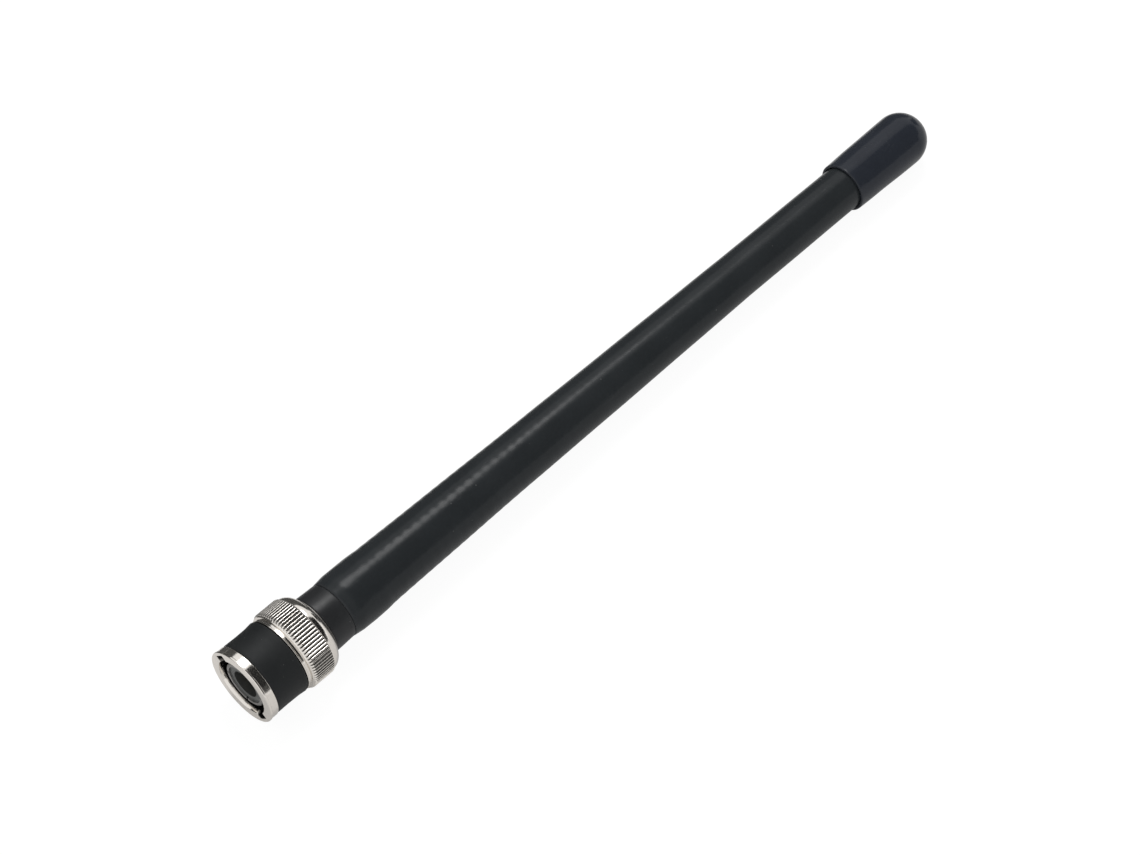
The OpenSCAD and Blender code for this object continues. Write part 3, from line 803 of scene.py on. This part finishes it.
@dataclass
class Whip:
    """The shrink jacket over the flare ring, the coil and the core."""

    start: float = 19.35
    wall: float = 0.4
    edge_r: float = 5.05
    flare_start: float = 21.6
    flare_end: float = 25.81
    flare_r: float = 5.26
    foot_z: float = 29.0
    foot_r: float = 5.1
    knee_z: float = 58.0
    knee_r: float = 4.6
    top_z: float = 113.0
    top_r: float = 4.05
    end: float = 156.55
    coil_z: float = 26.93
    coil_pitch: float = 1.95
    columns: int = 128

    def outline(self, x: np.ndarray) -> np.ndarray:
        """Radius of the jacket: eased from its edge up to the flare and down to the foot of its taper,
        then straight to the knee and to the top."""
        up = smoothstep((x - self.start) / (self.flare_start - self.start))
        down = smoothstep((x - self.flare_end) / (self.foot_z - self.flare_end))
        flare = self.edge_r + (self.flare_r - self.edge_r) * up + (self.foot_r - self.flare_r) * down
        taper = np.interp(x, [self.foot_z, self.knee_z, self.top_z, self.end],
                          [self.foot_r, self.knee_r, self.top_r, self.top_r])
        return np.where(x < self.foot_z, flare, taper)

    def relief(self, x: np.ndarray, turn: np.ndarray) -> np.ndarray:
        """Small lift of the jacket's outer face in mm.

        The coil's turns show as a cosine of pitch coil_pitch that follows the helix and fades towards the
        top. The shrunk flare has a few soft folds, and the whole tube is slightly uneven.
        """
        turns = np.cos(math.tau * (x - self.coil_z) / self.coil_pitch - turn)
        depth = 0.012 * smoothstep((x - 25.5) / 3.0) * (1 - 0.86 * smoothstep((x - 42.0) / 40.0))
        depth = depth * (1 - smoothstep((x - 98.0) / 12.0))
        near = np.exp(-((x - 23.6) / 2.2) ** 2)
        folds = near * (0.030 * np.sin(4 * turn + 0.5 * x) + 0.010 * np.sin(9 * turn - 1.1 * x))
        uneven = 0.022 * np.sin(2 * turn + 0.045 * x) + 0.014 * np.sin(3 * turn - 0.11 * x + 1.0)
        uneven = uneven + 0.010 * np.sin(0.31 * x + 2.0 * np.cos(turn))
        return depth * turns + folds + uneven * smoothstep((x - self.start) / 6.0)

    def build_jacket(self) -> bpy.types.Object:
        """Builds the jacket: outer rows with the relief, inner rows plain, joined at both ends.

        Returns:
            The jacket's mesh object.
        """
        outer_x = np.concatenate([np.linspace(self.start, 28.0, 54, endpoint=False),
                                  np.linspace(28.0, 110.0, 400, endpoint=False),
                                  np.linspace(110.0, self.end, 60)])
        inner_x = np.array([self.end, 113.0, 58.0, 29.0, 27.4, 25.9, 24.0, 22.1, 21.0, self.start])
        turn = np.linspace(0.0, math.tau, self.columns, endpoint=False)[None, :]
        x_out, x_in = outer_x[:, None], inner_x[:, None]
        lip = 0.10 * np.exp(-((x_out - self.start) / 0.12))
        outer = self.outline(x_out) + self.relief(x_out, turn) - lip
        inner = self.outline(x_in) - self.wall + 0 * turn
        edge = 0.05 * np.sin(3 * turn + 0.4) + 0.03 * np.sin(8 * turn)
        slip = edge * (1.0 - smoothstep((x_out - self.start) / 1.5))
        points = np.concatenate([turned(x_out + np.maximum(slip, -0.02), outer, turn), turned(x_in + 0 * turn, inner, turn)])
        rows = len(outer_x) + len(inner_x)
        rub = np.concatenate([np.broadcast_to(np.exp(-((x_out - self.start) / 0.15)), outer.shape).ravel(),
                              np.zeros(inner.size)])
        obj = add_mesh("jacket_skin", points, ring_faces(rows, self.columns, True), {"rub": rub})
        even_shading(obj)
        return obj

    def build(self, finishes: Finishes) -> None:
        """Builds the jacket and dresses what lies under it."""
        place(self.build_jacket(), finishes.shrink, Body.WHIP, Slot.SHRINK_TUBE, "whip_jacket")
        dress(finishes.shrink, "flare_ring")
        dress(finishes.copper, "helical_coil")
        dress(finishes.rod, "coil_core")


@dataclass
class EndCap:
    """The slip-on vinyl cap."""

    start: float = 141.0
    rim_r: float = 4.6
    dome_z: float = 156.55
    dome_r: float = 4.95
    bore_r: float = 4.08
    columns: int = 144

    def outline(self) -> np.ndarray:
        """The cap's open section, from the inner pole out over the rim to the outer pole.

        Returns:
            Points (along, radius) that start and end next to the axis.
        """
        q = np.linspace(0.0, math.pi / 2, 15)[:-1]
        inside = np.stack([self.dome_z + self.bore_r * np.cos(q), self.bore_r * np.sin(q)], axis=1)[1:]
        rim = rounded([(self.dome_z, self.bore_r), (self.start, self.bore_r), (self.start, self.rim_r),
                       (self.start + 0.5, self.rim_r + 0.03), (self.start + 4.0, self.rim_r + 0.13),
                       (self.dome_z - 3.0, self.dome_r - 0.03)], 0.2, 5)
        rim = refined(rim, 0.7)
        s = np.linspace(0.0, math.pi / 2, 25)[:-1]
        outside = np.stack([self.dome_z + self.dome_r * np.sin(s), self.dome_r * np.cos(s)], axis=1)
        return np.concatenate([inside, rim, outside])

    def build(self, finishes: Finishes) -> None:
        """Builds the cap: the section carried round the axis and closed at both poles by a fan, with the
        soft dents of a dipped part on its outer face."""
        line = self.outline()
        turn = np.linspace(0.0, math.tau, self.columns, endpoint=False)[None, :]
        x, r = line[:, :1], line[:, 1:]
        skin = (np.arange(len(line)) >= 22)[:, None] * smoothstep((x - self.start - 0.1) / 1.0)
        dents = 0.022 * np.sin(2 * turn + 0.25 * x) + 0.014 * np.sin(3 * turn - 0.5 * x) \
            + 0.008 * np.sin(0.9 * x + 3 * np.sin(turn))
        radius = r + (dents - 0.03) * skin * np.minimum(1.0, r / self.dome_r)
        grid = turned(x, radius, turn)
        poles = np.array([[self.dome_z + self.bore_r, 0, 0], [self.dome_z + self.dome_r, 0, 0]]) * MM
        n, c = len(line), self.columns
        j = np.arange(c)
        first, last = n * c, n * c + 1
        fan_in = np.stack([np.full(c, first), (j + 1) % c, j], axis=1)[:, ::-1]
        fan_out = np.stack([(n - 1) * c + j, (n - 1) * c + (j + 1) % c, np.full(c, last)], axis=1)
        faces = [tuple(f) for f in ring_faces(n, c, False).tolist()]
        faces += [tuple(f) for f in fan_in.tolist()] + [tuple(f) for f in fan_out.tolist()]
        rub = np.exp(-((x - self.start) / 0.25) ** 2) * (r > self.rim_r - 0.2) + 0 * turn
        obj = add_mesh("cap_skin", np.concatenate([grid, poles]), faces,
                       {"rub": np.concatenate([rub.ravel() * 0.6, [0.0, 0.0]])})
        even_shading(obj)
        place(obj, finishes.vinyl, Body.WHIP, Slot.VINYL, "end_cap")


# ---------------------------------------------------------------- studio and camera

@dataclass(frozen=True)
class Card:
    """A dark cloth that only bright surfaces mirror: its name, its grey and its corners in metres."""

    name: str
    tone: float
    corners: Tuple[Tuple[float, float, float], ...]

    def build(self) -> None:
        """Builds the cloth. It lights and shades nothing, and no camera sees it."""
        obj = add_mesh(self.name, np.array(self.corners), [(0, 1, 2, 3)])
        material = bpy.data.materials.new(self.name)
        material.use_nodes = True
        b = Bench(material.node_tree)
        cloth = b.add("BsdfDiffuse", {"Color": (self.tone, self.tone, self.tone * 0.98, 1.0)})
        b.add("OutputMaterial", {"Surface": cloth.outputs[0]})
        obj.data.materials.append(material)
        obj.visible_camera = obj.visible_diffuse = obj.visible_shadow = False


@dataclass
class Studio:
    """White floor and surroundings, one soft box, and dark cards that the bright metal mirrors."""

    floor_size: float = 8.0
    rest_x: float = 12.7
    rest_r: float = 7.1
    cap_x: float = 156.55
    cap_r: float = 4.95
    level: float = 0.60
    box_at: Tuple[float, float, float] = (0.315, 0.26, 0.70)
    box_size: Tuple[float, float] = (0.28, 0.26)
    box_radiance: float = 8.9
    cards: Tuple[Card, ...] = (
        Card("roof_card", 0.035, ((0.10, 0.03, 0.85), (1.60, 0.03, 0.85), (1.60, -0.90, 0.42), (0.10, -0.90, 0.42))),
        Card("near_card", 0.11, ((0.10, -0.90, 0.42), (1.20, -0.90, 0.42), (1.20, -1.25, 0.15), (0.10, -1.25, 0.15))),
        Card("end_card", 0.05, ((1.60, -0.10, 0.03), (1.60, 0.42, 0.03), (1.60, 0.42, 0.55), (1.60, -0.10, 0.55))),
        Card("far_card", 0.10, ((-0.70, 0.50, 0.0), (1.30, 0.50, 0.0), (1.30, 0.50, 0.33), (-0.70, 0.50, 0.33))),
        Card("far_cloth", 0.10, ((-0.70, 0.018, -0.0162), (1.30, 0.018, 0.0137), (1.30, 0.50, 0.0137),
                                 (-0.70, 0.50, -0.0162))))


    @staticmethod
    def seen(bench: Bench) -> bpy.types.NodeSocket:
        """1 for camera, glossy and transmission rays, and 0 for the rays that light the object."""
        path = bench.add("LightPath")
        first = bench.math("MAXIMUM", path.outputs["Is Camera Ray"], path.outputs["Is Glossy Ray"])
        return bench.math("MAXIMUM", first, path.outputs["Is Transmission Ray"])

    def build_floor(self) -> None:
        """Lays the floor under the grip's ribs and the cap, at the slope that the antenna rests at: the
        line that touches the ribs' rear end and the cap's dome."""
        rise = (self.rest_r - self.cap_r) / (self.cap_x - self.rest_x)
        gap = 0.03
        x = np.array([-1, 1, 1, -1]) * self.floor_size / 2
        y = np.array([-1, -1, 1, 1]) * self.floor_size / 2
        z = (-self.rest_r - gap) * MM + rise * (x - self.rest_x * MM)
        obj = add_mesh("floor", np.stack([x, y, z], axis=1), [(0, 1, 2, 3)])
        material = bpy.data.materials.new("white_floor")
        material.use_nodes = True
        b = Bench(material.node_tree)
        path = b.add("LightPath")
        lit = b.add("BsdfDiffuse", {"Color": (0.85, 0.85, 0.85, 1.0)})
        glow = b.add("Emission", {"Color": (1.0, 1.0, 1.0, 1.0), "Strength": 0.93})
        shown = b.add("BsdfDiffuse", {"Color": (0.13, 0.13, 0.13, 1.0)})
        white = b.add("AddShader", {0: shown.outputs[0], 1: glow.outputs[0]})
        gleam = b.add("Emission", {"Color": (1.0, 1.0, 1.0, 1.0), "Strength": 0.24})
        dim = b.add("BsdfDiffuse", {"Color": (0.64, 0.63, 0.62, 1.0)})
        half = b.add("AddShader", {0: dim.outputs[0], 1: gleam.outputs[0]})
        mirrored = b.math("MAXIMUM", path.outputs["Is Glossy Ray"], path.outputs["Is Transmission Ray"])
        mixed = b.add("MixShader", {0: mirrored, 1: lit.outputs[0], 2: half.outputs[0]})
        mixed = b.add("MixShader", {0: path.outputs["Is Camera Ray"], 1: mixed.outputs[0], 2: white.outputs[0]})
        b.add("OutputMaterial", {"Surface": mixed.outputs[0]})
        obj.data.materials.append(material)

    def build_world(self) -> None:
        """Sets the surroundings: white where they are seen or mirrored, at the plain level elsewhere."""
        world = bpy.data.worlds.new("white_surroundings")
        bpy.context.scene.world = world
        world.use_nodes = True
        b = Bench(world.node_tree)
        light = b.add("Background", {"Color": (1.0, 1.0, 1.0, 1.0), "Strength": self.level})
        white = b.add("Background", {"Color": (1.0, 1.0, 1.0, 1.0), "Strength": 1.0})
        mixed = b.add("MixShader", {0: self.seen(b), 1: light.outputs[0], 2: white.outputs[0]})
        b.add("OutputWorld", {"Surface": mixed.outputs[0]})

    def build_box(self) -> None:
        """Hangs the soft box over the far side; its power gives the chosen radiance over its area."""
        lamp = bpy.data.lights.new("soft_box", "AREA")
        lamp.shape, lamp.size, lamp.size_y = "RECTANGLE", *self.box_size
        lamp.energy = self.box_radiance * math.pi * self.box_size[0] * self.box_size[1]
        obj = bpy.data.objects.new("soft_box", lamp)
        obj.location = self.box_at
        obj.rotation_euler = (Vector(self.box_at) - Vector((0.07, 0, 0))).to_track_quat("Z", "Y").to_euler()
        bpy.context.scene.collection.objects.link(obj)

    def build(self) -> None:
        """Builds the studio and sets the plain view transform."""
        self.build_floor()
        self.build_world()
        self.build_box()
        for card in self.cards:
            card.build()
        bpy.context.scene.view_settings.view_transform = "Standard"


@dataclass
class PhotoCamera:
    """The camera at the photograph's viewpoint, fitted on the mouth, the grip and both ends."""

    place_mm: Tuple[float, float, float] = (-128.1, -191.7, 363.3)
    right: Tuple[float, float, float] = (0.691, -0.7228, 0.0)
    up: Tuple[float, float, float] = (0.5765, 0.5512, 0.6031)
    focal_px: float = 2795.25
    image_width: int = 1140
    sensor_mm: float = 36.0

    def build(self) -> None:
        """Creates the camera from its axes and its focal length in pixels of the 1140 pixel width."""
        data = bpy.data.cameras.new("photo_camera")
        data.sensor_fit, data.sensor_width = "HORIZONTAL", self.sensor_mm
        data.lens = self.focal_px / self.image_width * self.sensor_mm
        data.clip_start, data.clip_end = 0.01, 50.0
        data.dof.use_dof = False
        obj = bpy.data.objects.new("photo_camera", data)
        right = Vector(self.right).normalized()
        up = Vector(self.up).normalized()
        back = right.cross(up).normalized()
        up = back.cross(right)
        turn = Matrix((right, up, back)).transposed().to_4x4()
        obj.matrix_world = Matrix.Translation(Vector(self.place_mm) * MM) @ turn
        bpy.context.scene.collection.objects.link(obj)
        bpy.context.scene.camera = obj


def main() -> None:
    """Builds the camera, the studio and every sub-assembly."""
    logging.basicConfig(level=logging.INFO, format="%(name)s: %(message)s")
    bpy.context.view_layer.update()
    PhotoCamera().build()
    Studio().build()
    finishes = Finishes()
    for part in (CouplingNut(), PlugInside(), WaveSpring(), Neck(), Whip(), EndCap()):
        part.build(finishes)


if __name__ == "__main__":
    main()
